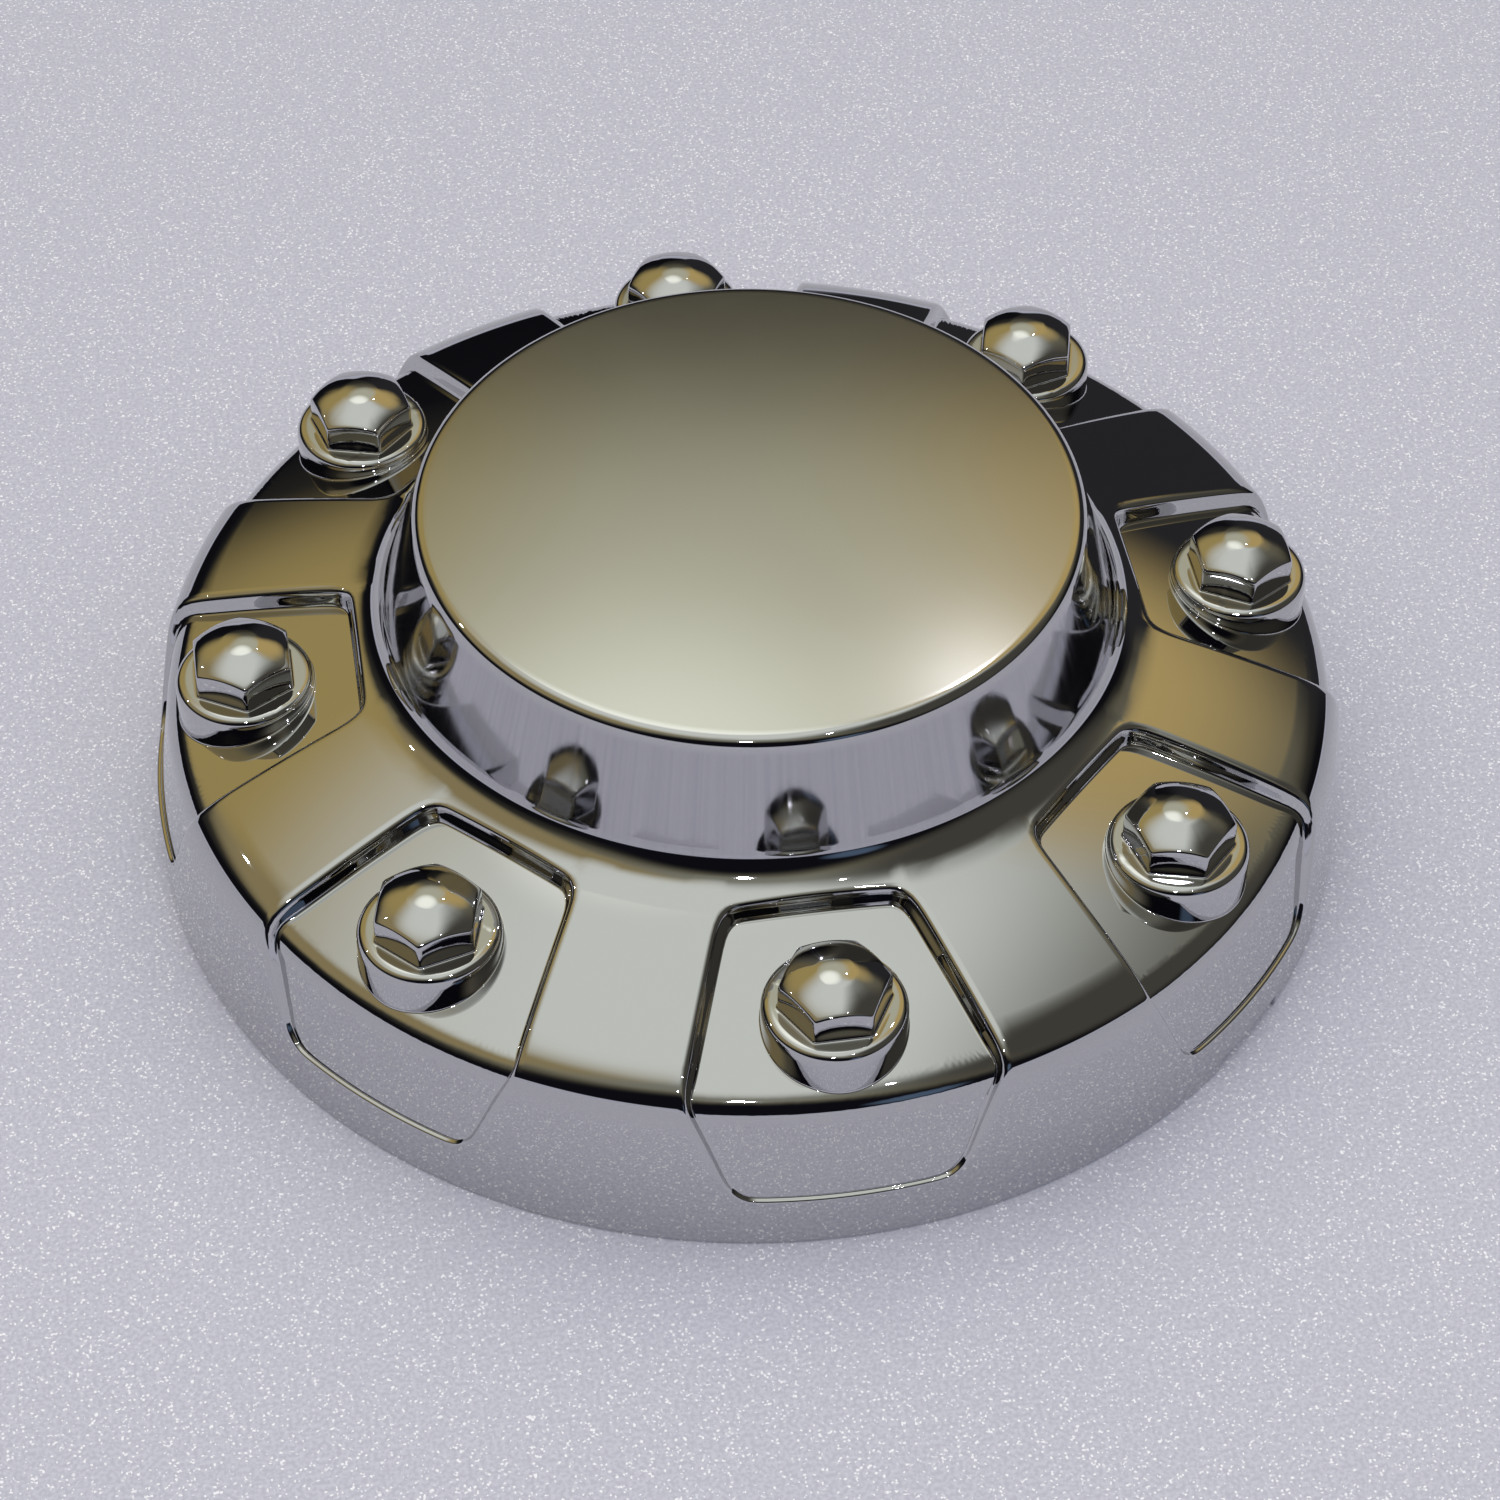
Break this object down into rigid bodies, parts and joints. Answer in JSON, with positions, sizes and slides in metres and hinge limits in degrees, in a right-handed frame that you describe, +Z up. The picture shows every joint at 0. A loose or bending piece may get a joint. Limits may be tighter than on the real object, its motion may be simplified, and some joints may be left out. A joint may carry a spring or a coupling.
{
  "type": "hubcap",
  "caption": "Chromed moulded hubcap with a domed centre drum and moulded nut heads, each in its own pocket round the shoulder.",
  "frame": {"origin": "centre of the open rim, on the plane that it rests on", "axes": "+Z up along the wheel's axis, towards the dome; one nut pocket faces -Y"},
  "size_m": [0.271, 0.271, 0.0903],
  "materials": {
    "chrome": "bright chrome plating on moulded plastic, satin on the domed centre"
  },
  "bodies": {
    "root": {"hubcap": "chrome"}
  },
  "joints": []
}
